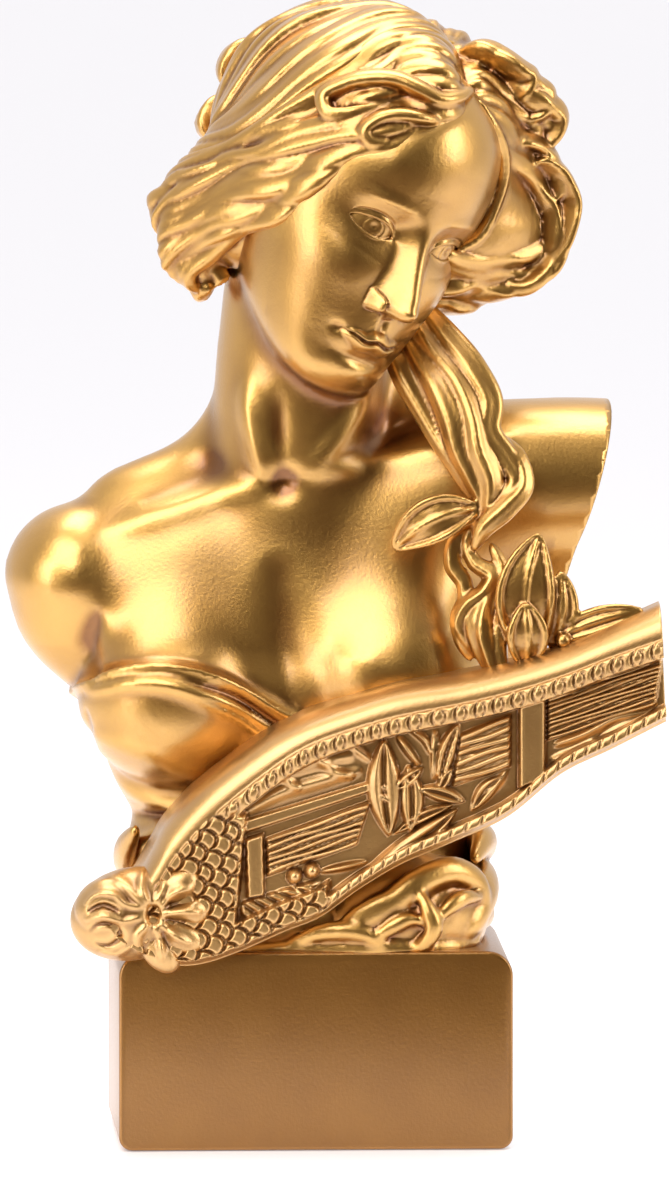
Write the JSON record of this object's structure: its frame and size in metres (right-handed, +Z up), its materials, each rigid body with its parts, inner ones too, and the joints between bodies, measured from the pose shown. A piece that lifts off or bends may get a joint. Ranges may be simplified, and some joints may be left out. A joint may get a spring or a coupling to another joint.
{
  "type": "bust statue on plinth",
  "caption": "Draped bust of a muse resting a carved lyre against her chest, with wavy hair and a hanging lock, cast in one with a plain rectangular plinth.",
  "frame": {"origin": "middle of the plinth's flat underside, on the surface that the statue stands on", "axes": "+Z up, -Y the way the plinth's front and the lyre face, +X to the right of someone who looks at the front"},
  "size_m": [0.171, 0.0992, 0.2995],
  "materials": {
    "gold": "satin metallic gold paint over cast resin"
  },
  "bodies": {
    "root": {"muse_bust": "gold"}
  },
  "joints": []
}
